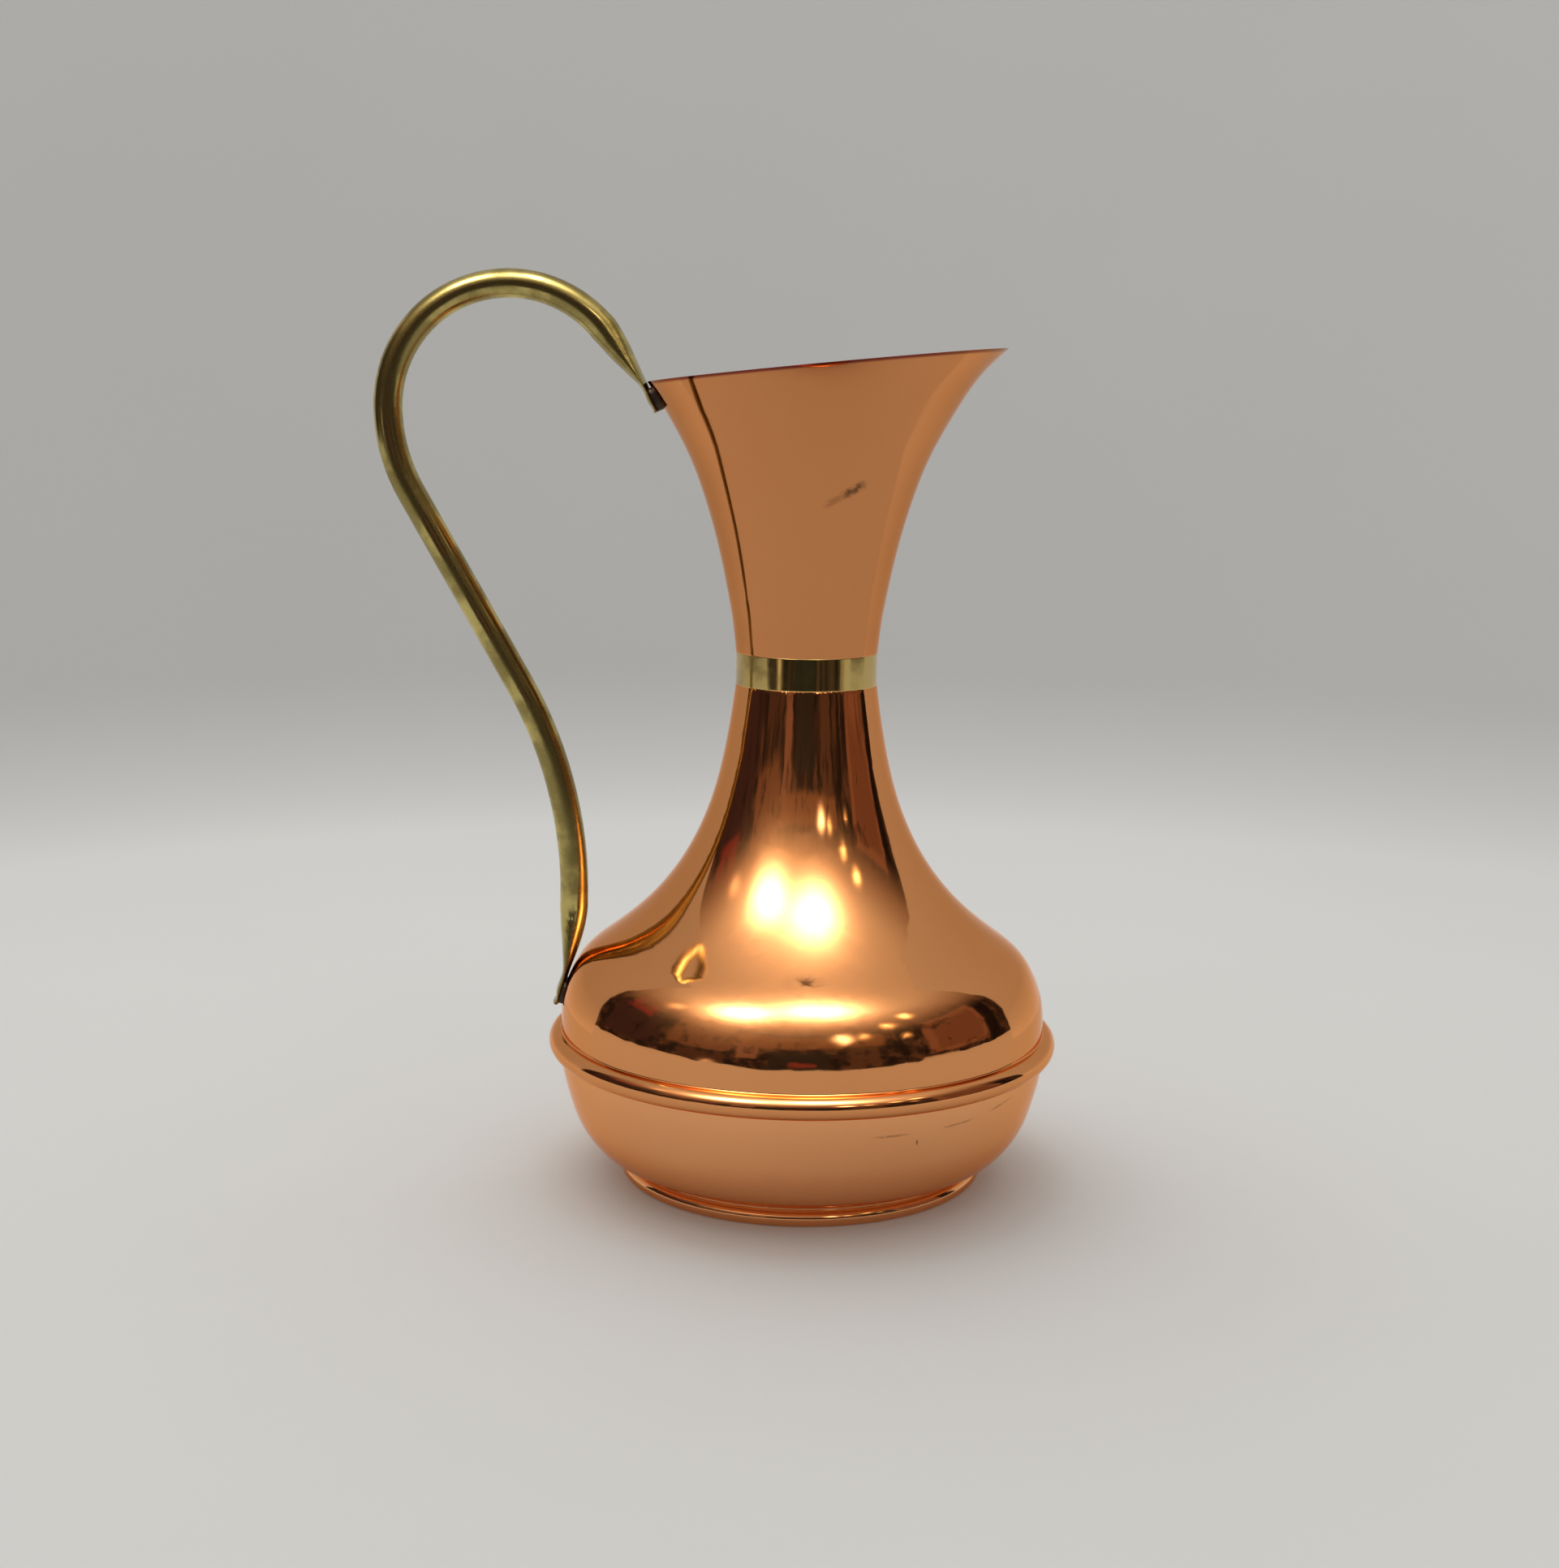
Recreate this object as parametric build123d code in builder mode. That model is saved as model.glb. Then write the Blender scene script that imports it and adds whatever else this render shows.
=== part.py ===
from build123d import *

import os
from math import asin, cos, degrees, pi, radians, sin, sqrt

# A spun copper water jug with a brass neck collar and a bent brass tube handle.
# Millimetres, +Z up. The origin is on the jug's axis, on the surface that it stands on.
# The handle stands on the -X side, and the lip is highest on the +X side.

# ---- driving dimensions -------------------------------------------------------------
SHEET = 0.7  # copper sheet, and the wall of everything spun from it
INNER_SPANS = 16  # how closely the inner face follows a splined outline

FOOT_ROLL = 2.7  # radius of the rounded foot, seen in section
FOOT_RADIUS = 62.0  # the foot where it is widest
FOOT_LAND = 2.8  # width of the flat ring that the jug stands on
BASE_STEP = 1.5  # radius of each of the two bends that lift the base
BASE_RISE_ANGLE = 75.0
GROOVE = 0.8  # radius of the groove between foot and bowl
BOWL_END_SLOPE = 17.0  # degrees, where the bowl's underside runs into the groove
FOOT_ENTRY = 25.0  # degrees below level, where the groove runs out into the foot

WALL_RADIUS = 82.6  # top of the bowl
FLANGE_RADIUS = 85.2  # rim of the bowl's out-turned flange, inside the bead
FLANGE_HEIGHT = 46.9  # underside of that flange
FLANGE_BEND = 0.6

BELLY_RADIUS = 82.2  # bottom of the shoulder, just above the bead
BEAD_HEIGHT = 46.8  # centre of the rolled bead
BEAD_CENTRE = 82.5
BEAD_RADIUS = 3.9
BEAD_CREASE = 0.5  # soft inner corner between the shoulder and its bead
BEAD_TUCK = 171.0  # how far the sheet is rolled round, in degrees

NECK_RADIUS = 23.7  # copper and brass are flush here
COLLAR_BOTTOM = 168.0
COLLAR_HEIGHT = 11.0
COLLAR_WALL = 0.9
COLLAR_EDGE = 0.4
JOINT_GAP = 0.8  # between the two copper spigots, inside the collar
JOGGLE = 1.2  # height of the step from full radius down to a spigot

RIM_HEIGHT = 272.3  # where the slanted rim plane crosses the axis
RIM_TILT = 5.8  # degrees, rising towards +X

TUBE_RADIUS = 4.75  # handle, where it is round
TUBE_WALL = 0.9
TANG_HALF_THICKNESS = 1.15  # the tube is hammered flat at both ends
UPPER_TANG = 9.0
LOWER_TANG = 11.0
BORE_START = 2.0  # from the lower tang to where the bore begins
BORE_OVERRUN = 1.0  # how far the bore is cut past the upper tip
TANG_BEND = 8.0  # radius of the bend between a tang and the tube
FLAT_RUN = 24.5  # the tube goes from flat to round over this length
FLAT_EASE = 1.2
TANG_SPANS = 3  # loft sections along a tang
OPENING_SPANS = 6  # and along each run from flat to round

CROWN_CENTRE = (-98.3, 257.9)  # the handle's top bend, in the plane of the handle
CROWN_RADIUS = 40.2
CROWN_START = 36.0  # degrees above level, where the top bend begins
PINCH_LENGTH = 18.6  # straight run between the top bend and the upper tang
UPPER_KINK = 10.0  # degrees between that run and its tang
BACK_RADIUS = 57.0  # the wider bend after the top one
GRIP_LEAN = 29.2  # degrees from upright, the straight run
TAIL_RADIUS = 145.0  # the long bend down to the belly
TAIL_HEIGHT = 97.0  # where that bend is upright
TAIL_TUCK = 11.0  # degrees that it goes on past upright
LOWER_KINK = 6.0

UPPER_FACING = 1  # which side of each tang is against the copper
LOWER_FACING = -1
PAD_WIDTH = 10.4  # the pad of solder under each tang
PAD_LENGTH = 8.0
PAD_CORNER = 2.5
PAD_START = 0.4  # inside the tang's wall
PAD_DEPTH = 3.0
SEAM_SOLDER_WIDTH = 4.2
SEAM_SOLDER_HEIGHT = 1.6

collar_top = COLLAR_BOTTOM + COLLAR_HEIGHT
spigot_radius = NECK_RADIUS - COLLAR_WALL
rim_plane = Plane.XY.offset(RIM_HEIGHT).rotated((0, -RIM_TILT, 0))
joint_height = COLLAR_BOTTOM + COLLAR_HEIGHT / 2
down = (0, -1)

# Half-profiles as (radius, height), outside of the sheet.
FLARE = [(25.8, 194.7), (29.1, 210.8), (33.5, 226.9), (39.4, 242.8), (47.3, 257.5), (56.2, 270.6)]
FLARE_TOP = (66.6, 280.6)
FLARE_HEADING = (-1, -0.9)  # heading down the outside, past the rim
FLARE_END_HEADING = (-0.1, -1)
SHOULDER = [
    (26.5, 149.6),
    (31.0, 130.8),
    (39.5, 111.4),
    (51.4, 95.5),
    (66.4, 82.6),
    (76.2, 74.0),
    (80.8, 64.4),
]
SHOULDER_HEADING = (0.12, -1)
BOWL = [(82.0, 38.5), (79.9, 29.5), (76.4, 19.8), (70.6, 11.9)]


# ---- thin sheet -----------------------------------------------------------------------
def inner_side(edge):
    """The inner face of the sheet along one stretch of its outline."""

    def inward(t):
        heading = edge % t
        return (edge @ t) + Vector(heading.Y, -heading.X) * SHEET

    if edge.geom_type == GeomType.LINE:
        return Line(inward(0), inward(1))
    if edge.geom_type == GeomType.CIRCLE:
        return ThreePointArc(inward(0), inward(0.5), inward(1))
    return Spline([inward(i / INNER_SPANS) for i in range(INNER_SPANS + 1)], tangents=[edge % 0, edge % 1])


def close_sheet(outline):
    """Turn a smooth outline, drawn downwards along the outside, into a strip of sheet."""
    inner = [inner_side(edge) for edge in outline]
    Line(outline[0] @ 0, inner[0] @ 0)
    Line(outline[-1] @ 1, inner[-1] @ 1)


def flare_line():
    """Outside of the mouth, from above the rim down to the collar."""
    return Spline([FLARE_TOP] + FLARE[::-1] + [funnel_foot], tangents=[FLARE_HEADING, FLARE_END_HEADING])


def shoulder_line():
    """Outside of the lower neck and shoulder, from the collar down to the bead."""
    return Spline([shoulder_top] + SHOULDER + [belly_end], tangents=[SHOULDER_HEADING, down])


# ---- mouth funnel: slanted flared mouth, with a spigot for the collar ------------------
funnel_foot = (NECK_RADIUS, collar_top)
funnel_spigot_top = (spigot_radius, collar_top - JOGGLE)
funnel_spigot_end = (spigot_radius, joint_height + JOINT_GAP / 2)

with BuildPart() as mouth_funnel:
    with BuildSketch(Plane.XZ):
        with BuildLine():
            flare = flare_line()
            step = Spline([funnel_foot, funnel_spigot_top], tangents=[FLARE_END_HEADING, down])
            spigot = Line(funnel_spigot_top, funnel_spigot_end)
            close_sheet([flare, step, spigot])
        make_face()
    revolve(axis=Axis.Z)
    split(bisect_by=rim_plane, keep=Keep.BOTTOM)


# ---- neck collar: a brass band, flush with the copper above and below it ---------------
with BuildPart() as neck_collar:
    with BuildSketch(Plane.XZ):
        with Locations((NECK_RADIUS - COLLAR_WALL / 2, joint_height)):
            Rectangle(COLLAR_WALL, COLLAR_HEIGHT)
        fillet(vertices().group_by(Axis.X)[-1], COLLAR_EDGE)
    revolve(axis=Axis.Z)


# ---- neck solder: the ring that fills the gap between the two spigots -------------------
with BuildPart() as neck_solder:
    with BuildSketch(Plane.XZ):
        with Locations((spigot_radius - SHEET / 2, joint_height)):
            Rectangle(SHEET, JOINT_GAP)
    revolve(axis=Axis.Z)


# ---- shoulder shell: lower neck and shoulder, rolled into a hollow bead ----------------
shoulder_spigot_end = (spigot_radius, joint_height - JOINT_GAP / 2)
shoulder_spigot_foot = (spigot_radius, COLLAR_BOTTOM + JOGGLE)
shoulder_top = (NECK_RADIUS, COLLAR_BOTTOM)
crease_to_bead = BEAD_CREASE + BEAD_RADIUS
bead_lean = asin((BEAD_CENTRE - BELLY_RADIUS - BEAD_CREASE) / crease_to_bead)
belly_end = (BELLY_RADIUS, BEAD_HEIGHT + crease_to_bead * cos(bead_lean))

with BuildPart() as shoulder_shell:
    with BuildSketch(Plane.XZ):
        with BuildLine():
            spigot = Line(shoulder_spigot_end, shoulder_spigot_foot)
            step = Spline([shoulder_spigot_foot, shoulder_top], tangents=[down, SHOULDER_HEADING])
            shoulder = shoulder_line()
            crease = JernArc(belly_end, down, BEAD_CREASE, 90 + degrees(bead_lean))
            bead = JernArc(crease @ 1, crease % 1, BEAD_RADIUS, -BEAD_TUCK)
            close_sheet([spigot, step, shoulder, crease, bead])
        make_face()
    revolve(axis=Axis.Z)


# ---- bowl shell: flange, bowl, groove, rolled foot and lifted base in one sheet --------
flange_end = (FLANGE_RADIUS, FLANGE_HEIGHT)
flange_bend = (WALL_RADIUS + FLANGE_BEND, FLANGE_HEIGHT)
foot_centre = FOOT_RADIUS - FOOT_ROLL
groove_heading = radians(180 + BOWL_END_SLOPE)
foot_entry = radians(FOOT_ENTRY)
foot_to_groove = FOOT_ROLL + GROOVE
groove_x = foot_centre + foot_to_groove * sin(foot_entry)
groove_height = FOOT_ROLL + foot_to_groove * cos(foot_entry)
bowl_end = (groove_x + GROOVE * sin(groove_heading), groove_height - GROOVE * cos(groove_heading))
bowl_end_heading = (cos(groove_heading), sin(groove_heading))

with BuildPart() as bowl_shell:
    with BuildSketch(Plane.XZ):
        with BuildLine():
            flange = Line(flange_end, flange_bend)
            bend = JernArc(flange_bend, (-1, 0), FLANGE_BEND, 90)
            bowl = Spline([bend @ 1] + BOWL + [bowl_end], tangents=[down, bowl_end_heading])
            groove = JernArc(bowl @ 1, bowl % 1, GROOVE, 180 - BOWL_END_SLOPE - FOOT_ENTRY)
            roll = JernArc(groove @ 1, groove % 1, FOOT_ROLL, FOOT_ENTRY - 180)
            land = Line(roll @ 1, (foot_centre - FOOT_LAND, 0))
            rise = JernArc(land @ 1, (-1, 0), BASE_STEP, -BASE_RISE_ANGLE)
            level = JernArc(rise @ 1, rise % 1, BASE_STEP, BASE_RISE_ANGLE)
            base = Line(level @ 1, (0, (level @ 1).Y))
            close_sheet([flange, bend, bowl, groove, roll, land, rise, level, base])
        make_face()
    revolve(axis=Axis.Z)


# ---- seam solder: runs round inside the bead, on top of the bowl's flange --------------
flange_top = FLANGE_HEIGHT + SHEET
bore_radius = BEAD_RADIUS - SHEET

with BuildPart() as seam_solder:
    with BuildSketch(Plane.XZ):
        with Locations((BEAD_CENTRE, BEAD_HEIGHT)):
            Circle(bore_radius)
        seam_corner = (Align.MIN, Align.MIN)
        with Locations((WALL_RADIUS - SHEET, flange_top)):
            Rectangle(SEAM_SOLDER_WIDTH, SEAM_SOLDER_HEIGHT, align=seam_corner, mode=Mode.INTERSECT)
    revolve(axis=Axis.Z)


# ---- handle tube: one bent tube, hammered flat at both ends ----------------------------
def handle_centreline():
    """From the tip of the lower tang up to the crown and down to the tip of the upper one."""
    entry = radians(CROWN_START)
    lean = radians(GRIP_LEAN)
    crown_start = Vector(*CROWN_CENTRE) + Vector(cos(entry), sin(entry)) * CROWN_RADIUS
    pinch_way = Vector(-sin(entry), cos(entry))
    pinch_start = crown_start - pinch_way * PINCH_LENGTH
    upper_bend = JernArc(pinch_start, -pinch_way, TANG_BEND, -UPPER_KINK)
    PolarLine(upper_bend @ 1, UPPER_TANG + BORE_OVERRUN, direction=upper_bend % 1)
    Line(pinch_start, crown_start)
    crown = JernArc(crown_start, pinch_way, CROWN_RADIUS, 180 - CROWN_START)
    back = JernArc(crown @ 1, crown % 1, BACK_RADIUS, GRIP_LEAN)
    grip_drop = (back @ 1).Y - TAIL_HEIGHT - TAIL_RADIUS * sin(lean)
    grip = PolarLine(back @ 1, grip_drop / cos(lean), direction=back % 1)
    tail = JernArc(grip @ 1, grip % 1, TAIL_RADIUS, -GRIP_LEAN - TAIL_TUCK)
    lower_bend = JernArc(tail @ 1, tail % 1, TANG_BEND, -LOWER_KINK)
    PolarLine(lower_bend @ 1, LOWER_TANG + BORE_OVERRUN, direction=lower_bend % 1)


def half_thickness(distance):
    """Half the tube's thickness in the plane of the handle, at a distance from a tang."""
    if distance <= 0:
        return TANG_HALF_THICKNESS
    opened = sin(pi / 2 * min(distance / FLAT_RUN, 1)) ** FLAT_EASE
    return TANG_HALF_THICKNESS + (TUBE_RADIUS - TANG_HALF_THICKNESS) * opened


# Drawn flat, with Y for height. The sections stand it up in the XZ plane.
with BuildLine() as centreline:
    handle_centreline()
handle_path = centreline.wire()

lower_tip = BORE_OVERRUN
lower_root = lower_tip + LOWER_TANG
lower_round = lower_root + FLAT_RUN
upper_tip = handle_path.length - BORE_OVERRUN
upper_root = upper_tip - UPPER_TANG
upper_round = upper_root - FLAT_RUN


def steps(start, end, count):
    """Evenly spaced distances, from start up to but not including end."""
    return [start + (end - start) * i / count for i in range(count)]


def place_on_handle(distance):
    """The upright plane across the handle, at a distance along its centreline."""
    where = handle_path.position_at(distance, position_mode=PositionMode.LENGTH)
    way = handle_path.tangent_at(distance, position_mode=PositionMode.LENGTH)
    return Plane(origin=(where.X, 0, where.Y), x_dir=(0, 1, 0), z_dir=(way.X, 0, way.Y))


def tube_sections(distances, shrink):
    """Sections of the tube, or of its bore, that keep its wall the same length all round."""
    sections = []
    for distance in distances:
        thick = half_thickness(min(distance - lower_root, upper_root - distance))
        wide = sqrt(2 * TUBE_RADIUS**2 - thick**2)
        with BuildSketch(place_on_handle(distance)) as section:
            Ellipse(wide - shrink, thick - shrink)
        sections.append(section.sketch)
    return sections


round_run = Plane.XZ.from_local_coords(
    handle_path.trim(lower_round / handle_path.length, upper_round / handle_path.length)
)
bore_start = lower_root + BORE_START
bore_end = upper_tip + BORE_OVERRUN
lower_tang = steps(lower_tip, lower_root, TANG_SPANS)
lower_opening = steps(lower_root, lower_round, OPENING_SPANS) + [lower_round]
lower_bore = steps(bore_start, lower_round, OPENING_SPANS) + [lower_round]
upper_opening = steps(upper_round, upper_root, OPENING_SPANS)
upper_tang = steps(upper_root, upper_tip, TANG_SPANS) + [upper_tip]
upper_slit = steps(upper_root, bore_end, TANG_SPANS) + [bore_end]

# The lower tang is hammered shut. A slit stays open through the upper one.
with BuildPart() as handle_tube:
    loft(tube_sections(lower_tang + lower_opening, 0))
    loft(tube_sections(lower_bore, TUBE_WALL), mode=Mode.SUBTRACT)
    loft(tube_sections(upper_opening + upper_tang, 0))
    loft(tube_sections(upper_opening + upper_slit, TUBE_WALL), mode=Mode.SUBTRACT)
    with BuildSketch(place_on_handle(lower_round)) as tube_section:
        Circle(TUBE_RADIUS)
        Circle(TUBE_RADIUS - TUBE_WALL, mode=Mode.SUBTRACT)
    sweep(tube_section.sketch, path=round_run)


# ---- handle solder: a pad between each tang and the copper -----------------------------
def body_core(outline):
    """The space inside a stretch of the spun body, as one solid."""
    with BuildPart() as core:
        with BuildSketch(Plane.XZ):
            with BuildLine():
                edge = outline()
                Polyline(edge @ 1, (0, (edge @ 1).Y), (0, (edge @ 0).Y), edge @ 0)
            make_face()
        revolve(axis=Axis.Z)
    return core.part


def facing_plane(distance, side):
    """The plane along a tang's middle that faces the body."""
    across = place_on_handle(distance)
    return Plane(origin=across.origin, x_dir=(0, 1, 0), z_dir=across.y_dir * side)


upper_tang_middle = facing_plane(upper_tip - PAD_LENGTH / 2, UPPER_FACING)
lower_tang_middle = facing_plane(lower_tip + PAD_LENGTH / 2, LOWER_FACING)

with BuildPart() as handle_top_solder:
    with BuildSketch(upper_tang_middle.offset(PAD_START)):
        RectangleRounded(PAD_WIDTH, PAD_LENGTH, PAD_CORNER)
    extrude(amount=PAD_DEPTH)
    add(handle_tube.part, mode=Mode.SUBTRACT)
    add(body_core(flare_line), mode=Mode.SUBTRACT)
    split(bisect_by=rim_plane, keep=Keep.BOTTOM)

with BuildPart() as handle_bottom_solder:
    with BuildSketch(lower_tang_middle.offset(PAD_START)):
        RectangleRounded(PAD_WIDTH, PAD_LENGTH, PAD_CORNER)
    extrude(amount=PAD_DEPTH)
    add(handle_tube.part, mode=Mode.SUBTRACT)
    add(body_core(shoulder_line), mode=Mode.SUBTRACT)


# ---- export ------------------------------------------------------------------------------
mouth_funnel.part.label = "mouth_funnel"
neck_collar.part.label = "neck_collar"
neck_solder.part.label = "neck_solder"
shoulder_shell.part.label = "shoulder_shell"
bowl_shell.part.label = "bowl_shell"
seam_solder.part.label = "seam_solder"
handle_tube.part.label = "handle_tube"
handle_top_solder.part.label = "handle_top_solder"
handle_bottom_solder.part.label = "handle_bottom_solder"

os.makedirs("parts", exist_ok=True)
export_step(mouth_funnel.part, "parts/mouth_funnel.step")
export_step(neck_collar.part, "parts/neck_collar.step")
export_step(neck_solder.part, "parts/neck_solder.step")
export_step(shoulder_shell.part, "parts/shoulder_shell.step")
export_step(bowl_shell.part, "parts/bowl_shell.step")
export_step(seam_solder.part, "parts/seam_solder.step")
export_step(handle_tube.part, "parts/handle_tube.step")
export_step(handle_top_solder.part, "parts/handle_top_solder.step")
export_step(handle_bottom_solder.part, "parts/handle_bottom_solder.step")
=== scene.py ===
import math

import bmesh
import bpy
from mathutils import Matrix, Vector

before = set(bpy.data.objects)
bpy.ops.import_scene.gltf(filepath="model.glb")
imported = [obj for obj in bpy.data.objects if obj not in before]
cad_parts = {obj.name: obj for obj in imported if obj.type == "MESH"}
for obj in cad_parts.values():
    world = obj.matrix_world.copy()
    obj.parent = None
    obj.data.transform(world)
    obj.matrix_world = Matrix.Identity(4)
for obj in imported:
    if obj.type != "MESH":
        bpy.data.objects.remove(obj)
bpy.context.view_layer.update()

# A polished copper jug with a brass collar and handle, on a pale paper sweep.
# Everything is in metres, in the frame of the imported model: the jug's axis is Z and it stands on Z = 0.

# ---- camera ---------------------------------------------------------------------------
CAMERA_PLACE = Vector((-0.0086, -0.740, 0.2589))
CAMERA_DOWN = math.radians(9.59)
CAMERA_ROLL = math.radians(0.65)
SENSOR = 36.0
LENS = 51.06

# ---- paper and room -------------------------------------------------------------------
SWEEP_RADIUS = 0.73  # the paper turns up into a wall this far from the jug
SWEEP_BEND = 0.09
SWEEP_HEIGHT = 1.6
PAPER = (0.70, 0.70, 0.69)
PAPER_MOTTLE = 0.97  # how much of the paper's brightness is left in its darker patches
WALL_PAPER = (0.82, 0.81, 0.79)  # painted light: the paper wall that only the metal sees, made lighter than the floor's paper
PAPER_SHADE = 0.97  # painted shade: how much of the seen paper's brightness is left at its wall
SHADE_START = 0.28  # distances from the axis over which this painted shade drops it
SHADE_END = 0.70
PAPER_FRONT = 0.62  # the mirrored paper ends this far in front of the jug
PAPER_SIDE = 1.6
PAPER_WALL_RADIUS = 0.55  # the mirrored paper's wall, behind and beside the jug
PAPER_WALL_HEIGHT = 0.95
PAPER_WALL_BEND = 0.15
ROOM_HALF_ANGLE = 105  # degrees each way from the camera's side that the paper leaves open
SOFTBOX_PLACE = Vector((-0.25, 0.35, 1.45))
SOFTBOX_WIDTH = 0.9
SOFTBOX_HEIGHT = 0.7
SOFTBOX_WATTS = 3.0

# ---- jug --------------------------------------------------------------------------------
RIM_HEIGHT = 0.2723  # where the slanted rim plane crosses the axis
RIM_TILT = math.radians(5.8)
RIM_EDGE_SHADE = (0.22, 0.045, 0.03)  # painted shade: dark colour laid along the cut edge of the rim and the copper just below it
RIM_SHADE_START = 0.0013  # the painted shade darkens the edge between these depths below the rim plane
RIM_SHADE_FULL = 0.0005
INNER_COPPER = (0.60, 0.255, 0.125)  # the duller copper inside the jug
INNER_TARNISH = (0.42, 0.17, 0.085)
GRAZING_TINT = (1.0, 0.74, 0.56)  # keeps copper coloured where it is seen edge on
MARK_COLOUR = (0.10, 0.045, 0.025)
SOOT = (0.035, 0.028, 0.022)
SOLDER = (0.13, 0.11, 0.09)


# ---- node helpers ---------------------------------------------------------------------
def connect(tree, socket, value):
    """Link a socket to another, or set it to a constant."""
    if isinstance(value, bpy.types.NodeSocket):
        tree.links.new(value, socket)
    elif isinstance(value, (tuple, Vector)) and len(socket.default_value) == 4 and len(value) == 3:
        socket.default_value = (*value, 1.0)
    else:
        socket.default_value = value


def maths(tree, operation, *values):
    """The output of a Math node with these inputs."""
    node = tree.nodes.new("ShaderNodeMath")
    node.operation = operation
    for socket, value in zip(node.inputs, values):
        connect(tree, socket, value)
    return node.outputs[0]


def vector_maths(tree, operation, *values):
    node = tree.nodes.new("ShaderNodeVectorMath")
    node.operation = operation
    for socket, value in zip(node.inputs, values):
        connect(tree, socket, value)
    return node.outputs["Value" if operation in ("DOT_PRODUCT", "LENGTH", "DISTANCE") else "Vector"]


def step(tree, value, low, high):
    """0 below low, 1 above high, and smooth between. With low above high it falls instead."""
    node = tree.nodes.new("ShaderNodeMapRange")
    node.interpolation_type = "SMOOTHSTEP"
    connect(tree, node.inputs["Value"], value)
    rising = high > low
    node.inputs["From Min"].default_value = min(low, high)
    node.inputs["From Max"].default_value = max(low, high)
    node.inputs["To Min"].default_value = 0.0 if rising else 1.0
    node.inputs["To Max"].default_value = 1.0 if rising else 0.0
    return node.outputs["Result"]


def mix(tree, factor, first, second):
    node = tree.nodes.new("ShaderNodeMix")
    node.data_type = "RGBA"
    connect(tree, node.inputs["Factor"], factor)
    colour_inputs = [s for s in node.inputs if s.type == "RGBA"]
    connect(tree, colour_inputs[0], first)
    connect(tree, colour_inputs[1], second)
    return [s for s in node.outputs if s.type == "RGBA"][0]


def noise(tree, vector, scale, detail=2.0, roughness=0.5):
    node = tree.nodes.new("ShaderNodeTexNoise")
    connect(tree, node.inputs["Vector"], vector)
    node.inputs["Scale"].default_value = scale
    node.inputs["Detail"].default_value = detail
    node.inputs["Roughness"].default_value = roughness
    return node.outputs["Fac"]


def stretch(tree, vector, scale):
    node = tree.nodes.new("ShaderNodeMapping")
    connect(tree, node.inputs["Vector"], vector)
    node.inputs["Scale"].default_value = scale
    return node.outputs["Vector"]


def bump(tree, height, strength, distance):
    node = tree.nodes.new("ShaderNodeBump")
    node.inputs["Strength"].default_value = strength
    node.inputs["Distance"].default_value = distance
    connect(tree, node.inputs["Height"], height)
    return node.outputs["Normal"]


def new_material(name):
    """A material with an empty node tree, its Principled shader and its output."""
    material = bpy.data.materials.new(name)
    material.use_nodes = True
    tree = material.node_tree
    tree.nodes.clear()
    output = tree.nodes.new("ShaderNodeOutputMaterial")
    shader = tree.nodes.new("ShaderNodeBsdfPrincipled")
    tree.links.new(shader.outputs["BSDF"], output.inputs["Surface"])
    return material, tree, shader


# ---- camera ---------------------------------------------------------------------------
def make_camera():
    forward = Vector((0, math.cos(CAMERA_DOWN), -math.sin(CAMERA_DOWN)))
    level = Vector((1, 0, 0))
    upright = level.cross(forward)
    right = level * math.cos(CAMERA_ROLL) + upright * math.sin(CAMERA_ROLL)
    up = right.cross(forward)
    data = bpy.data.cameras.new("camera")
    data.sensor_width = SENSOR
    data.lens = LENS
    camera = bpy.data.objects.new("camera", data)
    turn = Matrix((right, up, -forward)).transposed().to_4x4()
    camera.matrix_world = Matrix.Translation(CAMERA_PLACE) @ turn
    bpy.context.scene.collection.objects.link(camera)
    bpy.context.scene.camera = camera


# ---- the room that the metal reflects -------------------------------------------------
def scaled(colour, amount):
    return tuple(amount * c for c in colour)


def direction_of(azimuth, elevation):
    """A unit vector. Azimuth 0 is towards the camera's side, 90 is +X. Both in degrees."""
    a, e = math.radians(azimuth), math.radians(elevation)
    return Vector((math.sin(a) * math.cos(e), -math.cos(a) * math.cos(e), math.sin(e)))


# Dim shapes round the room: azimuth from and to, elevation from and to, colour.
ROOM_SHAPES = [
    (-105, -72, 2, 27, (0.050, 0.032, 0.040)),
    (-101, -82, 24, 40, (0.20, 0.045, 0.05)),
    (-66, -34, 12, 34, (0.17, 0.10, 0.07)),
    (-60, -36, -6, 8, (0.075, 0.045, 0.040)),
    (-31, -21, 6, 30, (0.24, 0.15, 0.12)),
    (-16, 12, -9, 16, (0.030, 0.032, 0.034)),
    (-7, 6, -3, 3, (0.22, 0.06, 0.055)),
    (-10, 14, 32, 40, (0.10, 0.075, 0.08)),
    (-34, 40, 20, 30, (0.22, 0.13, 0.08)),
    (22, 36, -6, 20, (0.10, 0.065, 0.05)),
    (61, 97, 2, 32, (0.25, 0.14, 0.10)),
    (56, 76, -9, -1, (0.60, 0.54, 0.45)),
    (66, 94, 6, 28, (0.19, 0.105, 0.075)),
    (98, 105, -4, 38, (0.012, 0.010, 0.012)),
]
ROOM_DARK = (0.018, 0.015, 0.017)
ROOM_CLUTTER = (0.13, 0.085, 0.065)
ROOM_HAZE = (0.32, 0.25, 0.20)
CEILING = (1.0, 0.965, 0.90)
CEILING_BRIGHTNESS = 0.62
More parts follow.
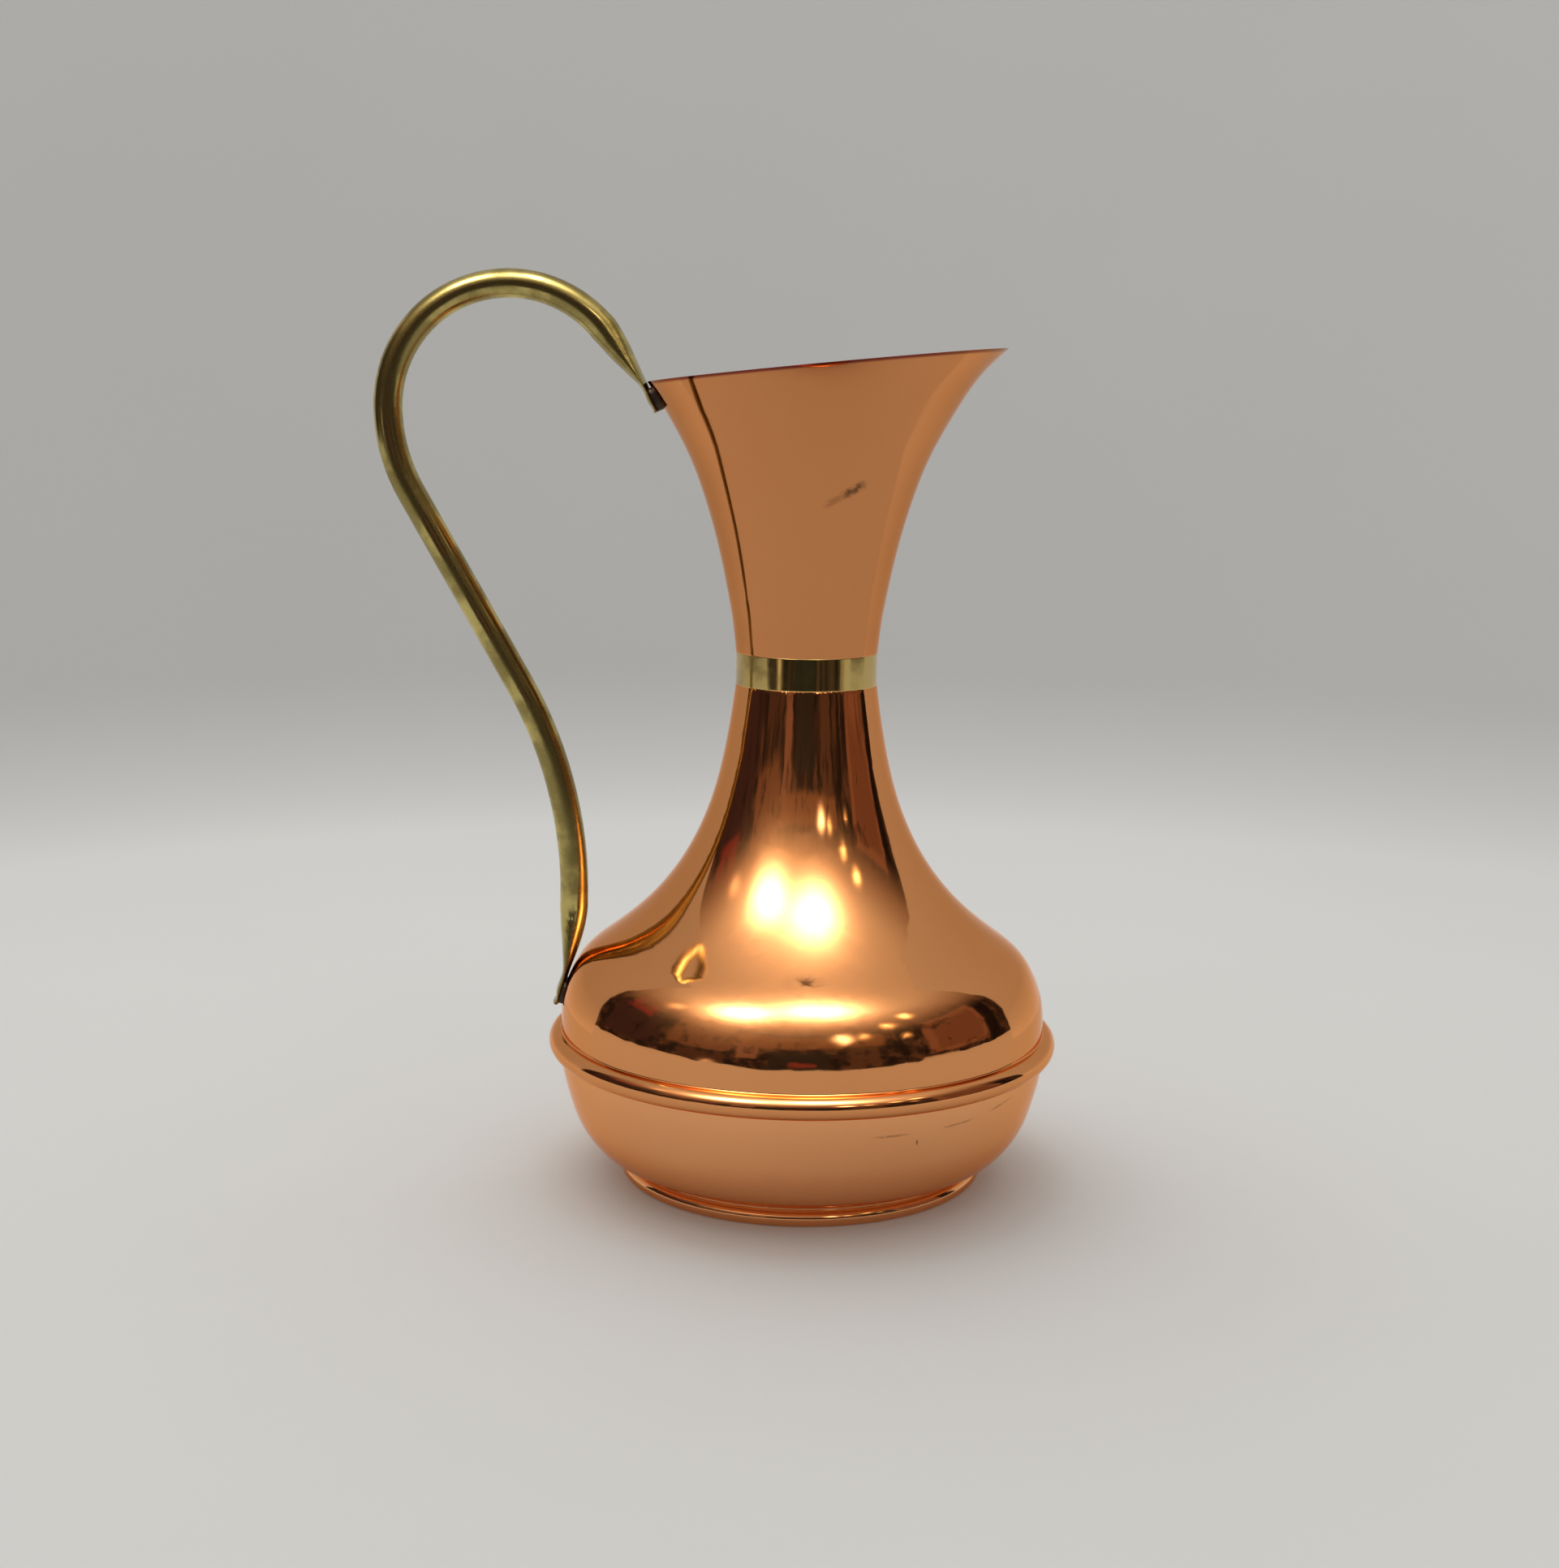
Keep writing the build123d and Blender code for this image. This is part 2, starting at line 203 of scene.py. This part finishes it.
# Lamps: azimuth, elevation, spread in degrees, brightness, colour.
LAMPS = [
    (-42, 56, 7.0, 12.0, (1.0, 0.96, 0.86)),
    (-42, 56, 15.0, 1.4, (1.0, 0.93, 0.80)),
    (14, 66, 8.0, 12.0, (1.0, 0.96, 0.86)),
    (14, 66, 16.0, 1.4, (1.0, 0.93, 0.80)),
    (20, 28, 2.2, 7.0, (1.0, 0.92, 0.75)),
    (31, 29, 1.6, 3.0, (1.0, 0.85, 0.5)),
    (46, 36, 1.8, 4.0, (1.0, 0.85, 0.5)),
    (61, 43, 1.8, 6.0, (1.0, 0.85, 0.5)),
    (52, 24, 1.2, 2.0, (1.0, 0.80, 0.45)),
    (-79, 43, 2.6, 1.2, (1.0, 0.80, 0.6)),
    (-45, -5, 2.4, 1.0, (1.0, 0.85, 0.7)),
]
SEEN_BEYOND = (0.42, 0.41, 0.39)  # what the camera sees past the paper
# The soft light that falls on the paper: low down, and overhead.
LOW_LIGHT = (0.555, 0.548, 0.532)
OVERHEAD_LIGHT = (1.24, 1.23, 1.19)
OVERHEAD_WAY = Vector((-0.14, 0.40, 0.90)).normalized()
OVERHEAD_START = math.sin(math.radians(35))
OVERHEAD_FULL = math.sin(math.radians(75))


def window(tree, value, low, high, soft):
    """1 between low and high, in degrees, with soft edges."""
    rise = step(tree, value, math.radians(low - soft), math.radians(low + soft))
    fall = step(tree, value, math.radians(high + soft), math.radians(high - soft))
    return maths(tree, "MULTIPLY", rise, fall)


def make_world():
    world = bpy.data.worlds.new("room")
    bpy.context.scene.world = world
    world.use_nodes = True
    tree = world.node_tree
    tree.nodes.clear()
    direction = tree.nodes.new("ShaderNodeTexCoord").outputs["Generated"]
    parts = tree.nodes.new("ShaderNodeSeparateXYZ")
    tree.links.new(direction, parts.inputs[0])
    elevation = maths(tree, "ARCSINE", parts.outputs["Z"])
    azimuth = maths(tree, "ARCTAN2", parts.outputs["X"], maths(tree, "MULTIPLY", parts.outputs["Y"], -1.0))

    clutter = tree.nodes.new("ShaderNodeCombineXYZ")
    tree.links.new(azimuth, clutter.inputs["X"])
    connect(tree, clutter.inputs["Y"], maths(tree, "MULTIPLY", elevation, 0.6))
    grain = noise(tree, clutter.outputs[0], 9.0, 4.0, 0.6)
    colour = mix(tree, step(tree, grain, 0.42, 0.72), ROOM_DARK, ROOM_CLUTTER)
    for left, right, bottom, top, shape_colour in ROOM_SHAPES:
        inside = window(tree, azimuth, left, right, 1.0)
        inside = maths(tree, "MULTIPLY", inside, window(tree, elevation, bottom, top, 1.5))
        worn = maths(tree, "MULTIPLY", inside, step(tree, grain, 0.30, 0.50))
        colour = mix(tree, worn, colour, shape_colour)
    colour = mix(tree, step(tree, elevation, math.radians(24), math.radians(44)), colour, ROOM_HAZE)
    rise = step(tree, elevation, math.radians(36), math.radians(60))
    colour = mix(tree, rise, colour, scaled(CEILING, CEILING_BRIGHTNESS))
    for lamp_azimuth, lamp_elevation, spread, brightness, lamp_colour in LAMPS:
        nearness = vector_maths(tree, "DOT_PRODUCT", direction, direction_of(lamp_azimuth, lamp_elevation))
        falloff = maths(tree, "DIVIDE", maths(tree, "SUBTRACT", nearness, 1.0), math.radians(spread) ** 2)
        glow = maths(tree, "EXPONENT", falloff)
        colour = vector_maths(tree, "MULTIPLY_ADD", glow, scaled(lamp_colour, brightness), colour)

    rays = tree.nodes.new("ShaderNodeLightPath")
    nearness = vector_maths(tree, "DOT_PRODUCT", direction, OVERHEAD_WAY)
    overhead = step(tree, nearness, OVERHEAD_START, OVERHEAD_FULL)
    soft_light = mix(tree, overhead, LOW_LIGHT, OVERHEAD_LIGHT)
    colour = mix(tree, rays.outputs["Is Glossy Ray"], soft_light, colour)
    colour = mix(tree, rays.outputs["Is Camera Ray"], colour, SEEN_BEYOND)
    background = tree.nodes.new("ShaderNodeBackground")
    connect(tree, background.inputs["Color"], colour)
    output = tree.nodes.new("ShaderNodeOutputWorld")
    tree.links.new(background.outputs[0], output.inputs["Surface"])


# ---- paper ----------------------------------------------------------------------------
def paper_material(name, paper, shade):
    """Matt paper. shade is how much of its brightness is left far from the jug, as painted shade that
    darkens it towards the wall.
    """
    material, tree, shader = new_material(name)
    place = tree.nodes.new("ShaderNodeTexCoord").outputs["Object"]
    mottle = noise(tree, place, 7.0, 3.0)
    fibres = noise(tree, place, 900.0, 2.0)
    reach = vector_maths(tree, "LENGTH", vector_maths(tree, "MULTIPLY", place, (1.0, 1.0, 0.0)))
    # painted shade: the paper's colour darkens from SHADE_START to SHADE_END away from the axis
    near = mix(tree, mottle, scaled(paper, PAPER_MOTTLE), paper)
    far = mix(tree, mottle, scaled(paper, PAPER_MOTTLE * shade), scaled(paper, shade))
    colour = mix(tree, step(tree, reach, SHADE_START, SHADE_END), near, far)
    connect(tree, shader.inputs["Base Color"], colour)
    shader.inputs["Roughness"].default_value = 0.9
    shader.inputs["Specular IOR Level"].default_value = 0.2
    connect(tree, shader.inputs["Normal"], bump(tree, fibres, 0.15, 0.0002))
    return material


def sweep_profile(radius, bend, height, steps=16):
    """Radius and height from the floor up a wall, round its bend."""
    points = []
    for i in range(steps + 1):
        angle = math.pi / 2 * i / steps
        points.append((radius - bend + bend * math.sin(angle), bend - bend * math.cos(angle)))
    return points + [(radius, height)]


def add_object(name, mesh_builder, material, smooth=True):
    mesh = bpy.data.meshes.new(name)
    mesh_builder.to_mesh(mesh)
    mesh_builder.free()
    for polygon in mesh.polygons:
        polygon.use_smooth = smooth
    obj = bpy.data.objects.new(name, mesh)
    mesh.materials.append(material)
    bpy.context.scene.collection.objects.link(obj)
    return obj


def turned_sheet(profile, start, end, count):
    """A sheet turned round Z. The angles are azimuths in degrees."""
    sheet = bmesh.new()
    rows = []
    for j in range(count + 1):
        a = math.radians(start + (end - start) * j / count)
        rows.append([sheet.verts.new((r * math.sin(a), -r * math.cos(a), z)) for r, z in profile])
    for first, second in zip(rows, rows[1:]):
        for i in range(len(profile) - 1):
            corners = (first[i], second[i], second[i + 1], first[i + 1])
            sheet.faces.new(corners)
    bmesh.ops.remove_doubles(sheet, verts=sheet.verts, dist=1e-6)
    bmesh.ops.recalc_face_normals(sheet, faces=sheet.faces)
    return sheet


def make_paper():
    material = paper_material("paper", PAPER, PAPER_SHADE)
    plain = paper_material("mirrored_paper", PAPER, 1.0)
    wall_paper = paper_material("mirrored_wall_paper", WALL_PAPER, 1.0)
    seen = sweep_profile(SWEEP_RADIUS, SWEEP_BEND, SWEEP_HEIGHT)
    sweep = add_object("paper_sweep", turned_sheet([(0.0, 0.0), (0.2, 0.0)] + seen, 0, 360, 96), material)
    sweep.visible_glossy = False
    sweep.visible_shadow = False
    sweep.visible_diffuse = False

    wall = sweep_profile(PAPER_WALL_RADIUS, PAPER_WALL_BEND, PAPER_WALL_HEIGHT)
    wall_sheet = turned_sheet(wall, ROOM_HALF_ANGLE, 360 - ROOM_HALF_ANGLE, 64)
    mirrored_wall = add_object("mirrored_wall", wall_sheet, wall_paper)
    floor_sheet = bmesh.new()
    corners = [
        (-PAPER_SIDE, -PAPER_FRONT),
        (PAPER_SIDE, -PAPER_FRONT),
        (PAPER_SIDE, PAPER_SIDE),
        (-PAPER_SIDE, PAPER_SIDE),
    ]
    floor_sheet.faces.new([floor_sheet.verts.new((x, y, 0.0)) for x, y in corners])
    mirrored_floor = add_object("mirrored_floor", floor_sheet, plain, smooth=False)
    for sheet in (mirrored_wall, mirrored_floor):
        sheet.visible_camera = False
        sheet.visible_shadow = False
        sheet.visible_diffuse = False


def make_softbox():
    data = bpy.data.lights.new("softbox", "AREA")
    data.shape = "RECTANGLE"
    data.size = SOFTBOX_WIDTH
    data.size_y = SOFTBOX_HEIGHT
    data.energy = SOFTBOX_WATTS
    light = bpy.data.objects.new("softbox", data)
    light.location = SOFTBOX_PLACE
    light.rotation_euler = (-SOFTBOX_PLACE).to_track_quat("-Z", "Y").to_euler()
    light.visible_glossy = False
    bpy.context.scene.collection.objects.link(light)


# ---- metals ---------------------------------------------------------------------------
# Smudges and small scratches: middle, direction, half-length, half-width, strength.
MARKS = [
    ((0.0138, -0.0330, 0.2337), (7.2, 1.5, 3.9), 0.0056, 0.0021, 0.80),
    ((0.0075, -0.0337, 0.2302), (5.0, 0.0, 2.5), 0.0045, 0.0016, 0.35),
    ((0.0278, -0.0767, 0.0362), (0.94, 0.34, 0.0), 0.008, 0.0006, 0.4),
    ((0.0489, -0.0655, 0.0367), (0.80, 0.60, 0.05), 0.009, 0.0006, 0.4),
    ((0.0640, -0.0510, 0.0390), (0.60, 0.78, 0.15), 0.008, 0.0006, 0.4),
    ((0.0357, -0.0725, 0.0328), (0.2, 0.0, -1.0), 0.0017, 0.0005, 0.7),
    ((0.0417, -0.0699, 0.0552), (1.0, 0.6, 0.3), 0.0015, 0.0005, 0.6),
]


def add_marks(tree, place, colour):
    """Lay each dark mark over the colour as a soft, broken stroke."""
    broken = step(tree, noise(tree, place, 700.0, 3.0), 0.26, 0.50)
    for middle, heading, long, wide, strength in MARKS:
        way = Vector(heading).normalized()
        away = vector_maths(tree, "SUBTRACT", place, Vector(middle))
        along = vector_maths(tree, "DOT_PRODUCT", away, way)
        across = vector_maths(tree, "LENGTH", vector_maths(tree, "CROSS_PRODUCT", away, way))
        stroke = step(tree, maths(tree, "ABSOLUTE", along), long, long * 0.3)
        stroke = maths(tree, "MULTIPLY", stroke, step(tree, across, wide, wide * 0.3))
        stroke = maths(tree, "MULTIPLY", maths(tree, "MULTIPLY", stroke, broken), strength)
        colour = mix(tree, stroke, colour, MARK_COLOUR)
    return colour


def copper_material(name, inner_lean, light, deep):
    """Mirror-polished copper. inner_lean says which way the inside of this shell faces, up or down. light
    and deep are its two random tones, set per shell with painted light and shade.
    """
    material, tree, shader = new_material(name)
    place = tree.nodes.new("ShaderNodeTexCoord").outputs["Object"]
    normal = tree.nodes.new("ShaderNodeNewGeometry").outputs["Normal"]
    outwards = vector_maths(tree, "NORMALIZE", vector_maths(tree, "MULTIPLY", place, (1.0, 1.0, 0.0)))
    facing = vector_maths(tree, "DOT_PRODUCT", normal, outwards)
    lift = vector_maths(tree, "DOT_PRODUCT", normal, (0.0, 0.0, inner_lean))
    inside = step(tree, maths(tree, "ADD", facing, lift), 0.02, -0.02)

    tone = noise(tree, place, 14.0, 3.0)
    outer = mix(tree, tone, light, deep)
    inner = mix(tree, noise(tree, place, 60.0, 4.0), INNER_COPPER, INNER_TARNISH)
    colour = mix(tree, inside, outer, inner)
    colour = add_marks(tree, place, colour)
    rim_way = Vector((-math.sin(RIM_TILT), 0.0, math.cos(RIM_TILT)))
    rim_reach = RIM_HEIGHT * math.cos(RIM_TILT)
    height = vector_maths(tree, "DOT_PRODUCT", place, rim_way)
    # painted shade: the copper turns dark towards the rim plane, along the rim's cut edge
    edge = step(tree, height, rim_reach - RIM_SHADE_START, rim_reach - RIM_SHADE_FULL)
    connect(tree, shader.inputs["Base Color"], mix(tree, edge, colour, RIM_EDGE_SHADE))
    connect(tree, shader.inputs["Specular Tint"], GRAZING_TINT)

    haze = step(tree, noise(tree, place, 22.0, 5.0, 0.6), 0.50, 0.75)
    polish = maths(tree, "MULTIPLY_ADD", haze, 0.05, 0.055)
    dull = maths(tree, "MULTIPLY_ADD", noise(tree, place, 120.0, 3.0), 0.1, 0.22)
    roughness = maths(tree, "ADD", polish, maths(tree, "MULTIPLY", inside, dull))
    connect(tree, shader.inputs["Roughness"], roughness)
    shader.inputs["Metallic"].default_value = 1.0

    rings = noise(tree, stretch(tree, place, (3.0, 3.0, 700.0)), 1.0, 2.0)
    waves = noise(tree, place, 26.0, 1.0)
    relief = maths(tree, "ADD", maths(tree, "MULTIPLY", rings, 0.02), waves)
    connect(tree, shader.inputs["Normal"], bump(tree, relief, 0.25, 0.0004))
    return material


def brass_material(name, bright, dull, polish, dull_share):
    """Brass that is tarnished in patches. polish is the roughness of its clean parts."""
    material, tree, shader = new_material(name)
    place = tree.nodes.new("ShaderNodeTexCoord").outputs["Object"]
    tarnish = step(tree, noise(tree, place, 45.0, 5.0, 0.6), 0.62 - dull_share, 0.82 - dull_share)
    connect(tree, shader.inputs["Base Color"], mix(tree, tarnish, bright, dull))
    scratches = noise(tree, stretch(tree, place, (900.0, 900.0, 160.0)), 1.0, 2.0)
    roughness = maths(tree, "MULTIPLY_ADD", tarnish, 0.14, polish)
    connect(tree, shader.inputs["Roughness"], maths(tree, "MULTIPLY_ADD", scratches, 0.04, roughness))
    shader.inputs["Metallic"].default_value = 1.0
    dents = noise(tree, place, 70.0, 2.0)
    connect(tree, shader.inputs["Normal"], bump(tree, dents, 0.2, 0.0004))
    return material


def solder_material():
    """Dull solder, darkened by the torch."""
    material, tree, shader = new_material("solder")
    place = tree.nodes.new("ShaderNodeTexCoord").outputs["Object"]
    soot = noise(tree, place, 400.0, 4.0)
    connect(tree, shader.inputs["Base Color"], mix(tree, soot, SOOT, SOLDER))
    connect(tree, shader.inputs["Roughness"], maths(tree, "MULTIPLY_ADD", soot, 0.3, 0.35))
    shader.inputs["Metallic"].default_value = 0.8
    connect(tree, shader.inputs["Normal"], bump(tree, soot, 0.6, 0.0006))
    return material


def dress(node, material):
    """Give every material slot of a CAD node the same material."""
    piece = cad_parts[node]
    if not piece.material_slots:
        piece.data.materials.append(material)
    for slot in piece.material_slots:
        slot.material = material


make_camera()
make_world()
make_paper()
make_softbox()

# One copper for all three shells: the funnel's colours are darker (painted shade) and the bowl's lighter
# (painted light) than the shoulder's.
dress("mouth_funnel", copper_material("copper_funnel_painted_shade", -0.2, (0.645, 0.270, 0.104), (0.60, 0.235, 0.084)))
dress("shoulder_shell", copper_material("copper_shoulder", 0.2, (0.80, 0.350, 0.138), (0.74, 0.303, 0.110)))
dress("bowl_shell", copper_material("copper_bowl_painted_light", -0.2, (0.89, 0.430, 0.190), (0.84, 0.380, 0.160)))
dress("neck_collar", brass_material("collar_brass", (0.58, 0.42, 0.15), (0.40, 0.29, 0.10), 0.07, 0.1))
dress("handle_tube", brass_material("handle_brass", (0.56, 0.455, 0.16), (0.28, 0.22, 0.075), 0.12, 0.26))
solder = solder_material()
for joint in ("neck_solder", "seam_solder", "handle_top_solder", "handle_bottom_solder"):
    dress(joint, solder)

view_settings = bpy.context.scene.view_settings
view_settings.view_transform = "Standard"
view_settings.look = "None"
